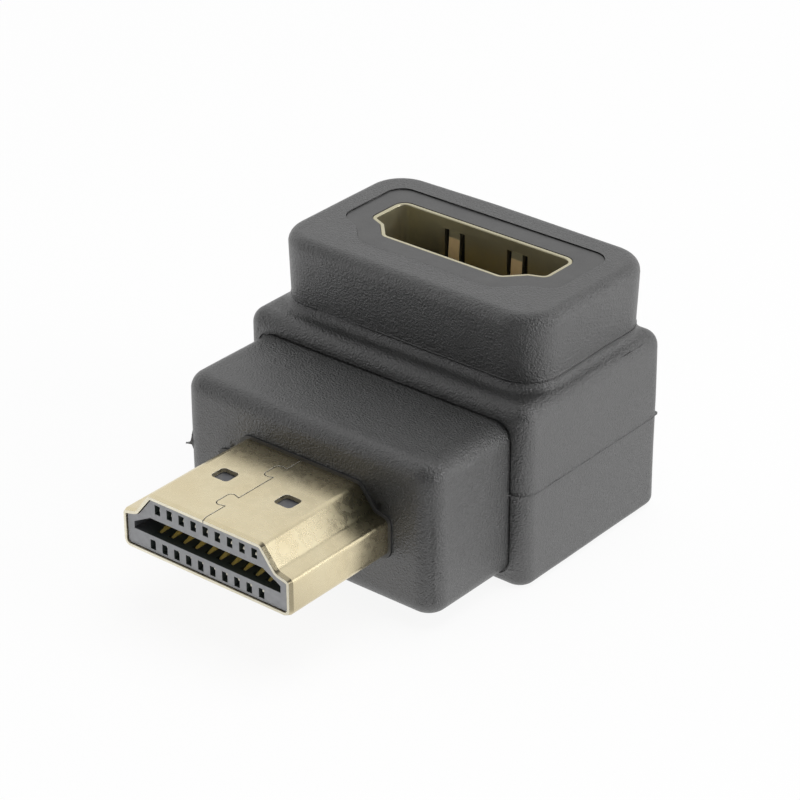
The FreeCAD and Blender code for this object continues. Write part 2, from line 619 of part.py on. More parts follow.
def make_plug_insulator(contacts):
    body = bar(inset(PLUG_OUTLINE, SHEET), at_plug(FACE_RECESS),
               V(0, INSULATOR_LENGTH - FACE_RECESS, 0))
    cuts = [bar(SLOT_OUTLINE, at_plug(0.0), V(0, SLOT_DEPTH, 0))]
    for _, x, side in rows():
        cuts.append(groove(x, side, 0.0, POCKET_OUT - POCKET_HEIGHT))
        cuts.append(groove(x, side, FACE_RECESS + POCKET_SKIN, SLOT_HEIGHT / 2 - SHEET))
    floor = PLUG_LOW + SHEET + LATCH_RELIEF
    ceiling = PLUG_LOW + PLUG_HEIGHT - SHEET - LATCH_RELIEF
    cuts += latch_holes(LATCH_RELIEF_MARGIN, 0.0, floor)
    cuts += latch_holes(LATCH_RELIEF_MARGIN, ceiling, FAR)
    return body.cut(cuts).cut(contacts)


# SOCKET

def latch_spring(x, wall, inwards):
    """A strip of the shell that leans into the socket and turns back at its end."""
    middle = wall + inwards * SHEET / 2
    bulge = SPRING_TOP + SPRING_BULGE_DROP
    line = [(middle, FACE_Z - SPRING_TOP + SHEET), (middle, FACE_Z - SPRING_TOP),
            (middle + inwards * SPRING_BULGE, FACE_Z - bulge),
            (middle, FACE_Z - SPRING_TOP - SPRING_LENGTH)]
    return bar(ribbon(line, SHEET), side_view(x - SPRING_WIDTH / 2), V(SPRING_WIDTH, 0, 0))


def make_socket_shell():
    """A sheet tube with a latch spring in a window at four places, and two legs."""
    tube = bar(SOCKET_OUTLINE, at_socket(SOCKET_RIM_DROP), V(0, 0, SOCKET_RIM_DROP - SOCKET_DEPTH))
    shell = tube.cut(bar(SOCKET_HOLLOW, at_socket(-SHEET), V(0, 0, -SOCKET_DEPTH - 2 * SHEET)))
    shell = soften(shell, SOCKET_RIM_ROUND, lies_at(FACE_Z - SOCKET_RIM_DROP))
    narrow_face = SOCKET_WIDE_FACE - SOCKET_RISE
    for x in (-LATCH_HALF_PITCH, LATCH_HALF_PITCH):
        for wall, inwards in ((SOCKET_WIDE_FACE, -1), (narrow_face, 1)):
            near, far = sorted((wall - inwards * SHEET, wall + inwards * 2 * SHEET))
            shell = shell.cut(block(x - WINDOW_HALF, x + WINDOW_HALF, near, far,
                                    FACE_Z - WINDOW_END, FACE_Z - SPRING_TOP))
            shell = shell.fuse(latch_spring(x, wall, inwards))
    middle = SOCKET_WIDE_FACE - LEG_FROM_WIDE
    for x0 in (-SOCKET_HALF, SOCKET_HALF - SHEET):
        shell = shell.fuse(block(x0, x0 + SHEET, middle - LEG_WIDTH / 2, middle + LEG_WIDTH / 2,
                                 BOARD_UNDER - LEG_THROUGH, FACE_Z - SOCKET_DEPTH + SHEET))
    return shell.removeSplitter()


def socket_contact(x, side):
    """A strip that lies along the tongue and steps outwards to a tail in the board."""
    face = TONGUE_LIFT + SLOT_MIDDLE + side * (SLOT_HEIGHT / 2 - TONGUE_CLEARANCE)
    strip = SOCKET_WIDE_FACE - face - side * (STRIP_PROUD - CONTACT_THICK / 2)
    tail = strip - side * SOCKET_TAIL_SPREAD
    line = [(strip, FACE_Z - TONGUE_RECESS - CONTACT_RECESS), (strip, BASE_MIDDLE),
            (tail, BASE_MIDDLE), (tail, BOARD_UNDER - TAIL_THROUGH)]
    solid = bar(ribbon(line, CONTACT_THICK), side_view(x - CONTACT_WIDTH / 2),
                V(CONTACT_WIDTH, 0, 0))
    return solid, tail


def make_socket_insulator(contacts):
    """The socket's floor with the tongue standing on it."""
    floor = bar(SOCKET_HOLLOW, at_socket(SOCKET_MATING), V(0, 0, BOARD_TOP - BASE_TOP))
    ring = [((across, up + TONGUE_LIFT), radius)
            for (across, up), radius in inset(SLOT_OUTLINE, TONGUE_CLEARANCE)]
    tongue = bar(ring, at_socket(TONGUE_RECESS), V(0, 0, TONGUE_RECESS - SOCKET_MATING))
    return floor.fuse(tongue).removeSplitter().cut(contacts)


# BOARD AND SOLDER

def make_board(tails, legs_of):
    """A flat board: its narrow nose fits between the plug shell's tabs."""
    nose = PLUG_HALF - SHEET
    ring = [((-nose, BOARD_FRONT_Y), 0.0), ((nose, BOARD_FRONT_Y), 0.0), ((nose, BOARD_SHOULDER), 0.0),
            ((BOARD_HALF, BOARD_SHOULDER), 0.0), ((BOARD_HALF, BOARD_BACK), 0.0),
            ((-BOARD_HALF, BOARD_BACK), 0.0), ((-BOARD_HALF, BOARD_SHOULDER), 0.0),
            ((-nose, BOARD_SHOULDER), 0.0)]
    board = bar(ring, level(BOARD_UNDER), V(0, 0, BOARD_THICK))
    holes = [Part.makeCylinder(HOLE_ROUND / 2, BOARD_THICK, V(x, y, BOARD_UNDER)) for x, y in tails]
    return board.cut(holes + [legs_of])


def plug_bead(x, side, contact):
    """Solder over the end of one of the plug's tails."""
    surface = BOARD_MIDDLE + side * BOARD_THICK / 2
    crown = surface + side * BEAD_HEIGHT
    back = TIP_Y + TAIL_END + BEAD_SLOPE / 2
    front = back - BEAD_LENGTH
    ring = [((front, surface), 0.0), ((back, surface), 0.0),
            ((back - BEAD_SLOPE, crown), 0.0), ((front + BEAD_SLOPE, crown), 0.0)]
    width = CONTACT_PITCH - BEAD_GAP
    bead = bar(ring, side_view(x - width / 2), V(width, 0, 0))
    return bead.cut(contact)


def socket_joint(x, y, contact):
    """Solder that fills one hole and rises in a cone round the tail."""
    fill = Part.makeCylinder(HOLE_ROUND / 2, BOARD_THICK, V(x, y, BOARD_UNDER))
    cone = Part.makeCone((CONTACT_PITCH - CONE_GAP) / 2, CONE_TIP, CONE_HEIGHT,
                         V(x, y, BOARD_UNDER), V(0, 0, -1))
    return fill.fuse(cone).cut(contact)


# ASSEMBLY

def main():
    nodes = {}
    plug_contacts, socket_contacts, beads, joints, tails = [], [], [], [], []
    for number, x, side in rows():
        contact = plug_contact(x, side)
        plug_contacts.append(contact)
        nodes["plug_contact_%02d" % number] = contact
        beads.append(plug_bead(x, side, contact))
        contact, tail = socket_contact(x, side)
        socket_contacts.append(contact)
        nodes["socket_contact_%02d" % number] = contact
        tails.append((x, tail))
        joints.append(socket_joint(x, tail, contact))
    nodes["plug_shell"] = make_plug_shell()
    nodes["plug_insulator"] = make_plug_insulator(plug_contacts)
    nodes["socket_shell"] = make_socket_shell()
    nodes["socket_insulator"] = make_socket_insulator(socket_contacts)
    nodes["circuit_board"] = make_board(tails, nodes["socket_shell"])
    nodes["plug_solder_joints"] = Part.makeCompound(beads)
    nodes["socket_solder_joints"] = Part.makeCompound(joints)
    core = core_block()
    nodes["overmould_body"] = make_overmould(core, plate_ring())
    nodes["inner_premould"] = make_premould(core, beads + joints + [
        shape for name, shape in nodes.items() if not name.endswith(("joints", "body"))])
    os.makedirs("parts", exist_ok=True)
    for name, shape in nodes.items():
        print("%-22s solids %2d  valid %s  volume %9.3f  faces %d" % (
            name, len(shape.Solids), shape.isValid(), shape.Volume, len(shape.Faces)))
        shape.exportStep("parts/%s.step" % name)


main()
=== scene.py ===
import math

import bmesh
import bpy
from mathutils import Matrix, Vector, noise as field


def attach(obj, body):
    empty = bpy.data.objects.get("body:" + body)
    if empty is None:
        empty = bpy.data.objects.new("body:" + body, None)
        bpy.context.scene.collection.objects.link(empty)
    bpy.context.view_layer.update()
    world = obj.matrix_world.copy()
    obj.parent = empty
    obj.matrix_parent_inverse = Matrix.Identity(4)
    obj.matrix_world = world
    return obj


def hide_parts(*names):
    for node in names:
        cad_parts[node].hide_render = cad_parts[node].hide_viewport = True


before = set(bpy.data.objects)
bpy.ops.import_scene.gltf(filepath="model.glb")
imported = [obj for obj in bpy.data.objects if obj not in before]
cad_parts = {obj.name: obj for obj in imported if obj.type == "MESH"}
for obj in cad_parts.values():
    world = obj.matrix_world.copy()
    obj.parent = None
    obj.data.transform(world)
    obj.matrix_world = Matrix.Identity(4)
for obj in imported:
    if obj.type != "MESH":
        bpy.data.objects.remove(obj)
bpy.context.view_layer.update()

# RIGHT ANGLE ADAPTER, LOOKS
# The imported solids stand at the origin, in metres. The plug points along -Y and the
# socket faces +Z. Texture coordinates are object coordinates, so a noise scale of
# 1000 has features of about a millimetre.

MM = 0.001

# CAMERA
CAMERA_AT = (109.574, -138.611, 103.369)    # millimetres
CAMERA_RIGHT = (0.77336955, 0.63393887, -0.00458829)
CAMERA_UP = (-0.30025874, 0.37265379, 0.87805116)
CAMERA_BACK = (0.55834060, -0.67768036, 0.47854478)
LENS = 136.10
SENSOR = 36.0
SHIFT_X = 0.0012
SHIFT_Y = -0.0023

# LIGHTS
WORLD_LEVEL = 0.62
WORLD_SHEEN = 0.92                 # how bright the room is in reflections
DARK_SIDE = (0.60, -0.74, 0.30)    # the dark half of the room, behind the camera
DARK_FROM = -0.25                  # cosine to that side at which the room starts to darken
DARK_TO = 0.68                     # and at which it is darkest
DARK_LEVEL = 0.12                  # what is left of the room's light there
DARK_SHEEN = 0.06                  # what is left of it in reflections
LIGHTS_AIM = (0.0, -0.006, 0.008)  # about the middle of the adapter
SOFTBOXES = [                      # name, place, side, power, seen in reflections
    ("top_light", (0.10, 0.08, 0.58), 0.5, 2.2, False),
    ("right_light", (0.5, 0.15, 0.22), 0.35, 1.2, True),
    ("fill_light", (0.26, -0.44, 0.16), 0.3, 0.28, False),
]

# GRAIN OF THE OUTER MOULDING
SWELL_SCALE = 210.0                # slow waviness
SWELL_DEPTH = 0.30 * MM
PEBBLE_SCALE = 7600.0
CREASE_SCALE = 8800.0
CREASE_SHARE = 0.55                # of the grain's height, the rest is pebbles
GRAIN_DEPTH = 0.13 * MM

# GOLD PLATE
PATCH_SCALE = 330.0                # faint patches of colour
HAIR_SCALE = 1900.0                # fine unevenness of the plating
HAIR_DEPTH = 0.003 * MM
PLATE_WAVE = 0.010 * MM
SHELL_WAVE = 0.012 * MM            # the drawn shell of the plug is a little wavier
SATIN = (0.34, 0.44)               # lowest and highest roughness

# OTHER MATERIALS
FINE_SCALE = 9000.0                # grain of a smooth moulding
BROAD_SCALE = 500.0
MOTTLE_SCALE = 3400.0              # glass fibre in the insulators
WEAVE_SCALE = 1500.0               # glass cloth of the circuit board
CRYSTAL_SCALE = 5200.0             # skin of the solder

# SKIN OF THE OUTER MOULDING
SKIN_STEP = 0.55 * MM              # grid that its faces are cut along
SINK_SIZE = 5.5 * MM               # width of a slow hollow
SINK_DEPTH = 0.060 * MM
RIPPLE_SIZE = 1.7 * MM
RIPPLE_DEPTH = 0.012 * MM
WELD = 0.0005 * MM                 # points nearer than this are one
FLAT = math.radians(0.3)           # faces that turn less than this are one

# TORN TAG OF FLASH, round one corner of the plug block
TAG_CORNER = (-8.85 * MM, -13.53 * MM, 6.825 * MM)
TAG_TURN = math.radians(39.5)
TAG_RADIUS = 1.60 * MM
TAG_ROOM = 2.4 * MM                # faces farther from the corner aren't the tag's
TAG_SEAT = 0.02 * MM               # how far inside the corner's radius its faces start
TAG_LEAST = 0.005 * MM             # points that stand out less stay
TAG_CUTS = 40
TAG_PROFILE = [                    # height from the line of flash, reach as cast, reach that is kept
    (0.86 * MM, 0.0, 0.0), (0.45 * MM, 0.17 * MM, 0.06 * MM), (0.0, 0.355 * MM, 0.13 * MM),
    (-0.26 * MM, 0.463 * MM, 0.20 * MM), (-0.33 * MM, 0.492 * MM, 0.47 * MM),
    (-0.36 * MM, 0.489 * MM, 0.44 * MM), (-0.42 * MM, 0.422 * MM, 0.10 * MM), (-0.81 * MM, 0.0, 0.0),
]

# PAINTED SHADE ON THE PLUG'S SHELL, a dark patch where the gold mirrors the moulding, where it starts and
# where it is full
SHELL_SHADE_COLOUR = (0.16, 0.17, 0.09, 1)
SHELL_SHADE_SHARE = 0.65
SHELL_SHADE_ACROSS = (3.4 * MM, 5.6 * MM)
SHELL_SHADE_ALONG = (-18.8 * MM, -16.2 * MM)
SHELL_SHADE_RISE = (6.9 * MM, 7.5 * MM)

# EDGES THAT ARE BROKEN: width, least angle in degrees, segments
EDGE_CARRIER = (0.03 * MM, 30, 2)
EDGE_PIN = (0.045 * MM, 30, 2)
EDGE_SLEEVE_SHARP = (0.085 * MM, 65, 3)
EDGE_SLEEVE_BLUNT = (0.10 * MM, 32, 3)

# CONTACTS OF THE PLUG
SLOT_MIDDLE_Z = 6.90 * MM
PIN_REACH = 1.25 * MM              # a contact that goes this far above the middle is in the narrow row
PIN_NOSE_END = -23.80 * MM
PIN_NOSE_ON = 0.16 * MM            # how far the noses are drawn on to their pockets' mouths
PIN_NOSE_MIDDLE = 0.7              # share of that in the middle, with less to the left
PIN_NOSE_SPAN = 15 * MM
PIN_NOSE_OUT = 0.06 * MM           # and how far away from the slot
PIN_SHIFT_END = -16.0 * MM
PIN_SHIFT_NARROW = -0.20 * MM
PIN_SHIFT_WIDE = -0.08 * MM
PIN_TIP_END = -22.9 * MM
PIN_TIP_HALF = 0.12 * MM
PIN_TIP_SWELL = 1.9

# INSULATOR OF THE PLUG
CARRIER_GAP = 0.04 * MM            # dark gap round its front face
CARRIER_RIM = 0.1 * MM             # points this near to the rim keep their height
SLOT_SHIFT = [                     # height, and how far the slot and the pockets are moved there
    (4.90 * MM, 0.0), (5.20 * MM, -0.08 * MM), (5.86 * MM, -0.08 * MM), (6.20 * MM, -0.10 * MM),
    (7.60 * MM, -0.27 * MM), (7.94 * MM, -0.18 * MM), (8.60 * MM, -0.18 * MM), (8.68 * MM, 0.0),
]
SLOT_SHADE_FROM = -24.22 * MM      # faces behind this get painted shade, between these heights deep painted shade
SLOT_SHADE_LOW = 5.02 * MM
SLOT_SHADE_HIGH = 8.62 * MM
# painted light at the slot's left end, full at the first place and gone at the second
SLOT_LIGHT = (0.125, 0.130, 0.140, 1)
SLOT_LIGHT_END = (-6.1 * MM, -4.5 * MM)

# SPRINGS OF THE SOCKET
SPRING_AT = 2.60 * MM              # left and right of the middle
SPRING_HALF = 0.55 * MM
SPRING_HIGH = 17.30 * MM
SPRING_LOW = 12.6 * MM
SPRING_FROM = 2.6 * MM             # the wall that faces the camera is behind this
SPRING_NARROW = 0.86
SPRING_BACK = 0.19 * MM
SPRING_FALL = 3.2 * MM
SPRING_ROOT = (16.74 * MM, 16.84 * MM)
# the springs' roots, where their painted light stops, in the wall's darker colour
SPRING_ROOT_COLOUR = (0.33, 0.30, 0.19, 1)

# STAGE
FLOOR_RADIUS = 1.2
FLOOR_COLOUR = (0.93, 0.93, 0.93, 1.0)
WHITE = (1, 1, 1, 1)
FLOOR_LIFT = 0.90                  # share of plain white in what the camera sees of the floor
PLUG_SHADOW = 0.66                 # painted shadow: what reflections see of the floor in the plug's shadow
PLUG_SHADOW_ACROSS = (-0.014, 0.008)
PLUG_SHADOW_ALONG = (-0.027, -0.012)
CORNER_SHADOW = 0.25               # painted shade: what the corners that face the camera see of the floor
CORNER_SHADOW_ACROSS = (0.008, 0.014)
CORNER_SHADOW_ALONG = (-0.019, -0.013)


# NODE HELPERS

TEXTURE_LOW = 0.3                  # most values of a texture lie between these two
TEXTURE_HIGH = 0.7


def add(tree, kind, sockets=None, **settings):
    """A new node with its settings and its input values."""
    made = tree.nodes.new(kind)
    for key, value in settings.items():
        setattr(made, key, value)
    for key, value in (sockets or {}).items():
        made.inputs[key].default_value = value
    return made


def join(tree, source, target):
    """Links an output to an input, each given as (node, socket)."""
    tree.links.new(source[0].outputs[source[1]], target[0].inputs[target[1]])


def new_material(name, **principled):
    """A material with an empty tree that holds a Principled shader and object coordinates."""
    made = bpy.data.materials.new(name)
    made.use_nodes = True
    tree = made.node_tree
    tree.nodes.clear()
    out = add(tree, "ShaderNodeOutputMaterial")
    names = {"metal": "Metallic", "gloss": "Specular IOR Level", "index": "IOR"}
    shader = add(tree, "ShaderNodeBsdfPrincipled",
                 {names[key]: value for key, value in principled.items()})
    join(tree, (shader, "BSDF"), (out, "Surface"))
    place = add(tree, "ShaderNodeTexCoord")
    return made, tree, shader, place


def noise(tree, place, scale, detail, rough=0.55, warp=0.0):
    made = add(tree, "ShaderNodeTexNoise",
               {"Scale": scale, "Detail": detail, "Roughness": rough, "Distortion": warp})
    join(tree, (place, "Object"), (made, "Vector"))
    return made


def cells(tree, place, scale, feature="SMOOTH_F1"):
    made = add(tree, "ShaderNodeTexVoronoi", {"Scale": scale}, feature=feature)
    join(tree, (place, "Object"), (made, "Vector"))
    return made


def spread(tree, source, low, high, start=TEXTURE_LOW, end=TEXTURE_HIGH):
    """Maps a range, by default a texture's middle range, onto low to high."""
    made = add(tree, "ShaderNodeMapRange",
               {"From Min": start, "From Max": end, "To Min": low, "To Max": high})
    join(tree, source, (made, "Value"))
    return made


def tint(tree, source, first, second):
    """A colour ramp between two colours."""
    made = add(tree, "ShaderNodeValToRGB")
    for end, position, colour in zip(made.color_ramp.elements, (TEXTURE_LOW, TEXTURE_HIGH), (first, second)):
        end.position = position
        end.color = colour
    join(tree, source, (made, "Fac"))
    return made


def bump(tree, source, distance, strength, under=None):
    made = add(tree, "ShaderNodeBump", {"Distance": distance, "Strength": strength})
    join(tree, source, (made, "Height"))
    if under is not None:
        join(tree, (under, "Normal"), (made, "Normal"))
    return made


def blend(tree, first, second, share):
    """A weighted sum of two heights."""
    made = add(tree, "ShaderNodeMix", {"Factor": share}, data_type="FLOAT")
    join(tree, first, (made, "A"))
    join(tree, second, (made, "B"))
    return made


def times(tree, first, second):
    """The product of two values."""
    made = add(tree, "ShaderNodeMath", operation="MULTIPLY")
    join(tree, first, (made, 0))
    join(tree, second, (made, 1))
    return made


def split(tree, place):
    """The three object coordinates."""
    made = add(tree, "ShaderNodeSeparateXYZ")
    join(tree, (place, "Object"), (made, "Vector"))
    return made


def paint_shading(made, colour, *bands):
    """Lays a colour of painted shading, lighter or darker, over a material, by the product of its
    bands' shares. A band is an axis, the share at its start, the share at its end, and the places of both."""
    tree = made.node_tree
    shader = next(node for node in tree.nodes if node.type == "BSDF_PRINCIPLED")
    place = next(node for node in tree.nodes if node.type == "TEX_COORD")
    unpainted = shader.inputs["Base Color"].links[0].from_node
    axes = split(tree, place)
    share = None
    for axis, first, last, ends in bands:
        band = (spread(tree, (axes, axis), first, last, *ends), "Result")
        share = (times(tree, share, band), "Value") if share else band
    mix = add(tree, "ShaderNodeMix", {7: colour}, data_type="RGBA")
    join(tree, share, (mix, "Factor"))
    join(tree, (unpainted, "Color"), (mix, 6))
    join(tree, (mix, 2), (shader, "Base Color"))
    return made


# MATERIALS

def soft_pvc():
    """Black soft moulding: a fine pebbled grain that glints, over slow mould waviness."""
    made, tree, shader, place = new_material("soft_pvc", gloss=1.0, index=1.71)
    broad = noise(tree, place, SWELL_SCALE, 2.0)
    pebble = cells(tree, place, PEBBLE_SCALE)
    crease = noise(tree, place, CREASE_SCALE, 3.0, 0.65, 0.5)
    grain = blend(tree, (pebble, "Distance"), (crease, "Fac"), CREASE_SHARE)
    swell = bump(tree, (broad, "Fac"), SWELL_DEPTH, 0.5)
    skin = bump(tree, (grain, "Result"), GRAIN_DEPTH, 1.0, swell)
    colour = tint(tree, (crease, "Fac"), (0.002, 0.002, 0.0021, 1), (0.034, 0.0345, 0.034, 1))
    join(tree, (skin, "Normal"), (shader, "Normal"))
    join(tree, (colour, "Color"), (shader, "Base Color"))
    join(tree, (spread(tree, (crease, "Fac"), 0.29, 0.46), "Result"), (shader, "Roughness"))
    return made


def core_plastic():
    """The inner moulding: smoother than the outer one."""
    made, tree, shader, place = new_material("core_plastic", gloss=0.60)
    fine = noise(tree, place, FINE_SCALE, 3.0)
    broad = noise(tree, place, BROAD_SCALE, 2.0)
    skin = bump(tree, (fine, "Fac"), 0.008 * MM, 0.6, bump(tree, (broad, "Fac"), 0.1 * MM, 0.35))
    colour = tint(tree, (broad, "Fac"), (0.052, 0.052, 0.052, 1), (0.064, 0.064, 0.063, 1))
    join(tree, (skin, "Normal"), (shader, "Normal"))
    join(tree, (colour, "Color"), (shader, "Base Color"))
    join(tree, (spread(tree, (fine, "Fac"), 0.32, 0.44), "Result"), (shader, "Roughness"))
    return made


def gold(name, light, deep, rough=SATIN, metal=1.0, wave=PLATE_WAVE):
    """Thin gold plate over drawn sheet, with faint patches. The less metal it is, the more it
    shows its own colour where there is little to reflect."""
    made, tree, shader, place = new_material(name, metal=metal)
    patch = noise(tree, place, PATCH_SCALE, 2.0)
    fine = noise(tree, place, HAIR_SCALE, 1.0)
    skin = bump(tree, (fine, "Fac"), HAIR_DEPTH, 0.2, bump(tree, (patch, "Fac"), wave, 0.35))
    join(tree, (skin, "Normal"), (shader, "Normal"))
    join(tree, (tint(tree, (patch, "Fac"), deep, light), "Color"), (shader, "Base Color"))
    join(tree, (spread(tree, (fine, "Fac"), *rough), "Result"), (shader, "Roughness"))
    return made


def shell_gold():
    """The plug shell's gold, with painted shade at the root of its slanted side, where it mirrors the dark
    moulding.
    """
    made = gold("gold_shell", (0.79, 0.70, 0.48, 1), (0.75, 0.65, 0.43, 1), (0.24, 0.31), wave=SHELL_WAVE)
    return paint_shading(made, SHELL_SHADE_COLOUR, ("X", 0.0, SHELL_SHADE_SHARE, SHELL_SHADE_ACROSS), ("Y", 0.0, 1.0, SHELL_SHADE_ALONG),
                 ("Z", 0.0, 1.0, SHELL_SHADE_RISE))


def spring_lit_gold():
    """Painted light on the socket springs: a lighter, less metallic copy of the gold, in the wall's dull
    colour where they leave the wall.
    """
    made = gold("spring_lit_gold", (1.00, 0.76, 0.44, 1), (0.92, 0.66, 0.36, 1), metal=0.15)
    return paint_shading(made, SPRING_ROOT_COLOUR, ("Z", 0.0, 1.0, SPRING_ROOT))


def insulator(name, first, second, rough=0.45):
    """Glass-filled moulding: matt, with a faint mottle."""
    made, tree, shader, place = new_material(name, gloss=0.50)
    fine = noise(tree, place, FINE_SCALE, 4.0)
    patch = noise(tree, place, MOTTLE_SCALE, 3.0)
    skin = bump(tree, (fine, "Fac"), 0.012 * MM, 0.6)
    join(tree, (skin, "Normal"), (shader, "Normal"))
    join(tree, (tint(tree, (patch, "Fac"), first, second), "Color"), (shader, "Base Color"))
    join(tree, (spread(tree, (fine, "Fac"), rough, rough + 0.14), "Result"), (shader, "Roughness"))
    return made


def slot_shade():
    """Painted shade on the insulator in the depth of its slot and pockets, with painted light towards the
    slot's left end.
    """
    made = insulator("slot_shade", (0.036, 0.047, 0.043, 1), (0.050, 0.063, 0.058, 1), 0.50)
    return paint_shading(made, SLOT_LIGHT, ("X", 1.0, 0.0, SLOT_LIGHT_END))


def laminate():
    """Green lacquered circuit board."""
    made, tree, shader, place = new_material("board_laminate", gloss=0.5)
    weave = add(tree, "ShaderNodeTexWave", {"Scale": WEAVE_SCALE, "Distortion": 0.6, "Detail": 1.0})
    join(tree, (place, "Object"), (weave, "Vector"))
    colour = tint(tree, (weave, "Fac"), (0.010, 0.060, 0.022, 1), (0.016, 0.085, 0.032, 1))
    join(tree, (bump(tree, (weave, "Fac"), 0.01 * MM, 0.5), "Normal"), (shader, "Normal"))
    join(tree, (colour, "Color"), (shader, "Base Color"))
    join(tree, (spread(tree, (weave, "Fac"), 0.28, 0.38), "Result"), (shader, "Roughness"))
    return made


def solder():
    """Dull silver solder with a cooled, slightly grainy skin."""
    made, tree, shader, place = new_material("solder", metal=1.0)
    crystal = cells(tree, place, CRYSTAL_SCALE, "F1")
    colour = tint(tree, (crystal, "Distance"), (0.55, 0.55, 0.56, 1), (0.68, 0.68, 0.69, 1))
    join(tree, (bump(tree, (crystal, "Distance"), 0.01 * MM, 0.6), "Normal"), (shader, "Normal"))
    join(tree, (colour, "Color"), (shader, "Base Color"))
    join(tree, (spread(tree, (crystal, "Distance"), 0.26, 0.40), "Result"), (shader, "Roughness"))
    return made


MATERIALS = {
    "soft_pvc": soft_pvc(),
    "core_plastic": core_plastic(),
    "gold_shell": shell_gold(),
    "gold_edge": gold("gold_edge", (0.93, 0.88, 0.72, 1), (0.86, 0.80, 0.62, 1), metal=0.8),
    # painted highlight: a pale, near-white copy of the gold for the plug shell's sharpest broken edges
    "gold_edge_highlight": gold("gold_edge_highlight", (0.98, 0.96, 0.88, 1), (0.93, 0.88, 0.74, 1), metal=0.25),
    # painted shade: the socket's shell in a darker, duller copy of the gold
    "socket_gold": gold("socket_gold", (0.62, 0.58, 0.42, 1), (0.56, 0.52, 0.36, 1), metal=0.88),
    "spring_lit_gold": spring_lit_gold(),
    # painted light: a bright, mostly non-metal copy of the gold, so the contacts look lit in the dark slot
    "contact_gold": gold("contact_gold", (1.00, 0.78, 0.24, 1), (0.98, 0.70, 0.16, 1), (0.26, 0.36), 0.10),
    # painted glint: a pale, nearly white copy of the gold on the contacts' noses
    "contact_tip_glint": gold("contact_tip_glint", (1.00, 0.97, 0.84, 1), (0.98, 0.92, 0.74, 1), (0.22, 0.30), 0.05),
    "grey_insulator": insulator("grey_insulator", (0.360, 0.365, 0.378, 1), (0.420, 0.426, 0.440, 1), 0.42),
    # painted shade on the insulator's faces behind its front, such as the floors of the latch windows
    "window_shade": insulator("window_shade", (0.100, 0.102, 0.112, 1), (0.125, 0.128, 0.138, 1)),
    "slot_shade": slot_shade(),
    "black_insulator": insulator("black_insulator", (0.016, 0.016, 0.016, 1), (0.026, 0.026, 0.026, 1)),
    "board_laminate": laminate(),
    "solder": solder(),
}


def slot_of(node):
    """The record's finish for one node, by the start of its name."""
    starts = {"overmould_body": "soft_pvc", "inner_premould": "core_plastic",
              "plug_shell": "gold_shell", "socket_shell": "socket_gold",
              "plug_insulator": "grey_insulator", "socket_insulator": "black_insulator",
              "plug_contact": "contact_gold", "socket_contact": "contact_gold",
              "plug_solder": "solder", "socket_solder": "solder", "circuit_board": "board_laminate"}
    return next(slot for start, slot in starts.items() if node.startswith(start))


for name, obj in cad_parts.items():
    obj.data.materials.clear()
    obj.data.materials.append(MATERIALS[slot_of(name)])


# OWN PIECES

def start_copy(node):
    """The closed mesh of a solid, with its flat faces whole."""
    shape = bmesh.new()
    shape.from_mesh(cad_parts[node].data)
    bmesh.ops.remove_doubles(shape, verts=shape.verts, dist=WELD)
    bmesh.ops.dissolve_limit(shape, angle_limit=FLAT, verts=shape.verts, edges=shape.edges)
    return shape


def finish_copy(shape, node, name, sharp, also=()):
    """The finished piece, shown in place of its solid."""
    data = bpy.data.meshes.new(name)
    shape.to_mesh(data)
    shape.free()
    for slot in [slot_of(node)] + list(also):
        data.materials.append(MATERIALS[slot])
    data.shade_smooth()
    data.set_sharp_from_angle(angle=math.radians(sharp))
    made = bpy.data.objects.new(name, data)
    bpy.context.scene.collection.objects.link(made)
    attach(made, "root")
    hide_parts(node)
    return made


def cut_up(shape, step):
    """Cuts the faces along a grid of planes, so that the skin can bend."""
    for axis in range(3):
        places = [vertex.co[axis] for vertex in shape.verts]
        at = min(places) + step
        while at < max(places):
            plane = [0.0, 0.0, 0.0]
            plane[axis] = 1.0
            bmesh.ops.bisect_plane(shape, geom=shape.verts[:] + shape.edges[:] + shape.faces[:],
                                   dist=WELD, plane_co=Vector(plane) * at, plane_no=plane)
            at += step


def trim_tag(shape):
    """Draws the torn tag in to a low swelling with one thin point."""
    corner = Vector(TAG_CORNER)
    out = Vector((-math.cos(TAG_TURN), -math.sin(TAG_TURN), 0.0))
    near = []
    for face in shape.faces:
        away = face.calc_center_median() - corner
        if away.to_2d().length < TAG_ROOM and away.dot(out) > TAG_RADIUS - TAG_SEAT:
            near.append(face)
    top = TAG_CORNER[2] + TAG_PROFILE[0][0]
    for i in range(1, TAG_CUTS):
        height = top - i * (TAG_PROFILE[0][0] - TAG_PROFILE[-1][0]) / TAG_CUTS
        geom = set(near)
        for face in near:
            geom.update(face.edges)
            geom.update(face.verts)
        made = bmesh.ops.bisect_plane(shape, geom=list(geom), dist=WELD,
                                      plane_co=(0.0, 0.0, height), plane_no=(0.0, 0.0, 1.0))
        near = [item for item in made["geom"] if isinstance(item, bmesh.types.BMFace)]
    for vertex in {vertex for face in near for vertex in face.verts}:
        away = vertex.co - corner
        along = away.to_2d().length - TAG_RADIUS
        low = next((i for i in range(len(TAG_PROFILE) - 1) if away.z >= TAG_PROFILE[i + 1][0]), None)
        if along < TAG_LEAST or low is None:
            continue
        (z0, wide0, kept0), (z1, wide1, kept1) = TAG_PROFILE[low], TAG_PROFILE[low + 1]
        share = (z0 - away.z) / (z0 - z1)
        wide = max(wide0 + share * (wide1 - wide0), 1e-9)
        kept = kept0 + share * (kept1 - kept0)
        vertex.co -= away.to_2d().normalized().to_3d() * along * (1.0 - min(1.0, kept / wide))


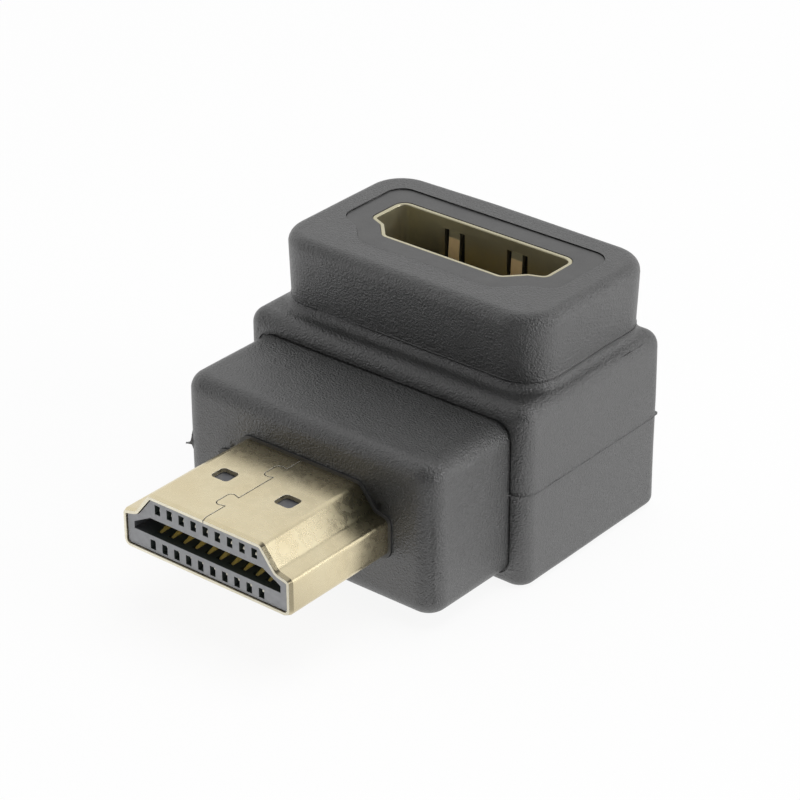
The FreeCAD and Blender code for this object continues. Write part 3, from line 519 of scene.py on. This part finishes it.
def make_skin():
    """The outer moulding, with the slow hollows and ripples of a soft casting."""
    shape = start_copy("overmould_body")
    cut_up(shape, SKIN_STEP)
    trim_tag(shape)
    bmesh.ops.triangulate(shape, faces=[face for face in shape.faces if len(face.verts) > 4])
    shape.normal_update()
    moved = []
    for vertex in shape.verts:
        sink = 0.5 + 0.5 * field.noise(vertex.co / SINK_SIZE)
        ripple = 0.5 + 0.5 * field.noise(vertex.co / RIPPLE_SIZE)
        moved.append(vertex.co - vertex.normal * (SINK_DEPTH * sink + RIPPLE_DEPTH * ripple))
    for vertex, place in zip(shape.verts, moved):
        vertex.co = place
    finish_copy(shape, "overmould_body", "outer_moulding", 34)


def soften_edges(made, width, angle, segments, slot=-1):
    """Breaks every edge sharper than an angle, so that it catches the light."""
    edges = made.modifiers.new("edges", "BEVEL")
    edges.width = width
    edges.segments = segments
    edges.limit_method = "ANGLE"
    edges.angle_limit = math.radians(angle)
    edges.harden_normals = True
    edges.material = slot


def outer_rim(shape):
    """The edges round the front face of the insulator, without those of its slot and pockets."""
    front = min(vertex.co.y for vertex in shape.verts)
    left = {edge for edge in shape.edges
            if all(vertex.co.y - front < 2 * WELD for vertex in edge.verts)
            and sum(abs(face.normal.y) > 0.99 for face in edge.link_faces) == 1}
    rings = []
    while left:
        ring, open_edges = [], [left.pop()]
        while open_edges:
            edge = open_edges.pop()
            ring.append(edge)
            for vertex in edge.verts:
                for other in [other for other in vertex.link_edges if other in left]:
                    left.remove(other)
                    open_edges.append(other)
        rings.append(ring)
    return max(rings, key=lambda ring: max(vertex.co.x for edge in ring for vertex in edge.verts))


def off_line(point, start, end):
    """How far a point lies from a straight edge."""
    along = end - start
    share = min(1.0, max(0.0, (point - start).dot(along) / max(along.length_squared, 1e-16)))
    return (start + along * share - point).length


def slot_shift(height):
    """How far the slot and the pockets stand off the solid's at one height."""
    for (low, first), (high, second) in zip(SLOT_SHIFT, SLOT_SHIFT[1:]):
        if low <= height <= high:
            return first + (second - first) * (height - low) / (high - low)
    return 0.0


def make_carrier():
    """The plug's insulator: painted shade in its slot and pockets and on its other faces behind the front,
    and a dark gap runs round it.
    """
    shape = start_copy("plug_insulator")
    rim = outer_rim(shape)
    rim_verts = {vertex for edge in rim for vertex in edge.verts}
    lines = [(edge.verts[0].co.xz, edge.verts[1].co.xz) for edge in rim]
    for vertex in shape.verts:
        if vertex in rim_verts or min(off_line(vertex.co.xz, *line) for line in lines) <= CARRIER_RIM:
            continue
        vertex.co.z += slot_shift(vertex.co.z)
    middle = Vector((0.0, SLOT_MIDDLE_Z))
    for vertex in rim_verts:
        inward = (middle - vertex.co.xz).normalized()
        near = [line for line in lines if off_line(vertex.co.xz, *line) < WELD]
        for start, end in near:
            across = Vector((start.y - end.y, end.x - start.x)).normalized()
            across = across if across.dot(middle - start) > 0 else -across
            inward += across
        step = inward.normalized() * CARRIER_GAP
        vertex.co += Vector((step.x, 0.0, step.y))
    shape.normal_update()
    # faces behind the front get painted shade, deepest in the slot and pockets
    for face in shape.faces:
        middle = face.calc_center_median()
        if middle.y > SLOT_SHADE_FROM:
            face.material_index = 1 if SLOT_SHADE_LOW < middle.z < SLOT_SHADE_HIGH else 2
    made = finish_copy(shape, "plug_insulator", "plug_carrier", 30, ["slot_shade", "window_shade"])
    soften_edges(made, *EDGE_CARRIER)


def make_pin(node):
    """A plug contact whose nose reaches up to its pocket's mouth and is painted pale as a glint, with its
    edges broken.
    """
    shape = start_copy(node)
    side = 1.0 if max(vertex.co.z for vertex in shape.verts) > SLOT_MIDDLE_Z + PIN_REACH else -1.0
    across = sum(vertex.co.x for vertex in shape.verts) / len(shape.verts)
    reach = PIN_NOSE_ON * (PIN_NOSE_MIDDLE + across / PIN_NOSE_SPAN)
    for vertex in shape.verts:
        if vertex.co.y < PIN_NOSE_END:
            vertex.co += Vector((0.0, -reach, side * PIN_NOSE_OUT))
        elif vertex.co.y < PIN_TIP_END and abs(vertex.co.x - across) < PIN_TIP_HALF:
            vertex.co.x = across + (vertex.co.x - across) * PIN_TIP_SWELL
        if vertex.co.y < PIN_SHIFT_END:
            vertex.co.z += PIN_SHIFT_NARROW if side > 0 else PIN_SHIFT_WIDE
    # the nose's faces get the painted glint
    for face in shape.faces:
        if face.calc_center_median().y < PIN_NOSE_END:
            face.material_index = 1
    made = finish_copy(shape, node, node.replace("plug_contact", "plug_pin"), 40, ["contact_tip_glint"])
    soften_edges(made, *EDGE_PIN)


def make_sleeve():
    """The plug's shell, with the bare edge of the sheet at its tip and a painted highlight on its sharpest
    broken edges.
    """
    shape = start_copy("plug_shell")
    tip = min(vertex.co.y for vertex in shape.verts)
    for face in shape.faces:
        if face.calc_center_median().y < tip + 2 * WELD:
            face.material_index = 1
    made = finish_copy(shape, "plug_shell", "plug_sleeve", 30, ["gold_edge", "gold_edge_highlight"])
    # the sharpest broken edges get the painted highlight
    soften_edges(made, *EDGE_SLEEVE_SHARP, slot=2)
    soften_edges(made, *EDGE_SLEEVE_BLUNT)


def on_spring(point):
    """Whether a point of the socket's shell is on a spring of the wall that faces the camera."""
    return (abs(abs(point.x) - SPRING_AT) < SPRING_HALF and SPRING_LOW < point.z < SPRING_HIGH
            and point.y > SPRING_FROM)


def make_socket_sleeve():
    """The socket's shell, with its springs bent back and given painted light."""
    shape = start_copy("socket_shell")
    for vertex in shape.verts:
        if on_spring(vertex.co):
            side = math.copysign(SPRING_AT, vertex.co.x)
            fall = min(1.0, max(0.0, (SPRING_HIGH - vertex.co.z) / SPRING_FALL))
            vertex.co.x = side + (vertex.co.x - side) * SPRING_NARROW
            vertex.co.y += SPRING_BACK * fall
    shape.normal_update()
    # the springs' faces towards the camera get the painted light
    for face in shape.faces:
        if on_spring(face.calc_center_median()) and abs(face.normal.x) < 0.5:
            face.material_index = 1
    finish_copy(shape, "socket_shell", "socket_sleeve", 30, ["spring_lit_gold"])


make_skin()
make_carrier()
make_sleeve()
make_socket_sleeve()
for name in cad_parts:
    if name.startswith("plug_contact"):
        make_pin(name)


# STAGE

def make_floor():
    """A pale matt floor. Reflections see it as plain white, with a painted shadow of the plug and darker
    painted shade in front of the corners that face the camera.
    """
    data = bpy.data.meshes.new("floor")
    shape = bmesh.new()
    bmesh.ops.create_circle(shape, cap_ends=True, segments=96, radius=FLOOR_RADIUS)
    shape.to_mesh(data)
    shape.free()
    floor = bpy.data.objects.new("floor", data)
    bpy.context.scene.collection.objects.link(floor)
    paint = bpy.data.materials.new("floor_paint")
    paint.use_nodes = True
    tree = paint.node_tree
    tree.nodes.clear()
    out = add(tree, "ShaderNodeOutputMaterial")
    path = add(tree, "ShaderNodeLightPath")
    matt = add(tree, "ShaderNodeBsdfDiffuse", {"Color": FLOOR_COLOUR})
    white = add(tree, "ShaderNodeEmission", {"Color": WHITE})
    lifted = add(tree, "ShaderNodeMath", {1: FLOOR_LIFT}, operation="MULTIPLY")
    join(tree, (path, "Is Camera Ray"), (lifted, 0))
    share = add(tree, "ShaderNodeMath", operation="MAXIMUM")
    join(tree, (lifted, "Value"), (share, 0))
    join(tree, (path, "Is Glossy Ray"), (share, 1))
    axes = split(tree, add(tree, "ShaderNodeTexCoord"))
    shade, corner = (
        times(tree, (spread(tree, (axes, "X"), 0.0, 1.0, *across), "Result"),
              (spread(tree, (axes, "Y"), 1.0, 0.0, *along), "Result"))
        for across, along in ((PLUG_SHADOW_ACROSS, PLUG_SHADOW_ALONG),
                              (CORNER_SHADOW_ACROSS, CORNER_SHADOW_ALONG)))
    mirrored = times(tree, (shade, "Value"), (path, "Is Glossy Ray"))
    darkest = spread(tree, (corner, "Value"), PLUG_SHADOW, CORNER_SHADOW, 0.0, 1.0)
    level = spread(tree, (mirrored, "Value"), 1.0, PLUG_SHADOW, 0.0, 1.0)
    join(tree, (darkest, "Result"), (level, "To Max"))
    join(tree, (level, "Result"), (white, "Strength"))
    mix = add(tree, "ShaderNodeMixShader")
    join(tree, (share, "Value"), (mix, "Fac"))
    join(tree, (matt, "BSDF"), (mix, 1))
    join(tree, (white, "Emission"), (mix, 2))
    join(tree, (mix, "Shader"), (out, "Surface"))
    data.materials.append(paint)


def make_world():
    """A soft white room with a dark side, in front of a plain white backdrop."""
    world = bpy.data.worlds.new("studio")
    bpy.context.scene.world = world
    world.use_nodes = True
    tree = world.node_tree
    tree.nodes.clear()
    out = add(tree, "ShaderNodeOutputWorld")
    path = add(tree, "ShaderNodeLightPath")
    way = add(tree, "ShaderNodeTexCoord")
    facing = add(tree, "ShaderNodeVectorMath", {1: DARK_SIDE}, operation="DOT_PRODUCT")
    join(tree, (way, "Generated"), (facing, 0))
    level = add(tree, "ShaderNodeMix", data_type="FLOAT")
    join(tree, (path, "Is Glossy Ray"), (level, "Factor"))
    for target, light, dark in (("A", WORLD_LEVEL, DARK_LEVEL), ("B", WORLD_SHEEN, DARK_SHEEN)):
        fall = add(tree, "ShaderNodeMapRange",
                   {"From Min": DARK_FROM, "From Max": DARK_TO,
                    "To Min": light, "To Max": light * dark}, interpolation_type="SMOOTHSTEP")
        join(tree, (facing, "Value"), (fall, "Value"))
        join(tree, (fall, "Result"), (level, target))
    lit = add(tree, "ShaderNodeBackground", {"Color": WHITE})
    join(tree, (level, "Result"), (lit, "Strength"))
    backdrop = add(tree, "ShaderNodeBackground", {"Color": WHITE, "Strength": 1.0})
    mix = add(tree, "ShaderNodeMixShader")
    join(tree, (path, "Is Camera Ray"), (mix, "Fac"))
    join(tree, (lit, "Background"), (mix, 1))
    join(tree, (backdrop, "Background"), (mix, 2))
    join(tree, (mix, "Shader"), (out, "Surface"))


def softbox(name, at, size, power, mirrored):
    """A square area light that points at the middle of the adapter."""
    data = bpy.data.lights.new(name, "AREA")
    data.shape = "SQUARE"
    data.size = size
    data.energy = power
    lamp = bpy.data.objects.new(name, data)
    bpy.context.scene.collection.objects.link(lamp)
    lamp.location = at
    lamp.visible_glossy = mirrored
    aim = Vector(LIGHTS_AIM) - Vector(at)
    lamp.rotation_euler = aim.to_track_quat("-Z", "Y").to_euler()


def make_camera():
    """The photograph's camera, as solved from the plug and the socket."""
    data = bpy.data.cameras.new("camera")
    data.lens = LENS
    data.sensor_width = SENSOR
    data.shift_x = SHIFT_X
    data.shift_y = SHIFT_Y
    data.clip_start = 0.01
    data.clip_end = 10.0
    camera = bpy.data.objects.new("camera", data)
    bpy.context.scene.collection.objects.link(camera)
    turn = Matrix((CAMERA_RIGHT, CAMERA_UP, CAMERA_BACK)).transposed().to_4x4()
    camera.matrix_world = Matrix.Translation(Vector(CAMERA_AT) * MM) @ turn
    bpy.context.scene.camera = camera


make_camera()
make_world()
make_floor()
for lamp in SOFTBOXES:
    softbox(*lamp)
bpy.context.scene.view_settings.view_transform = "Standard"
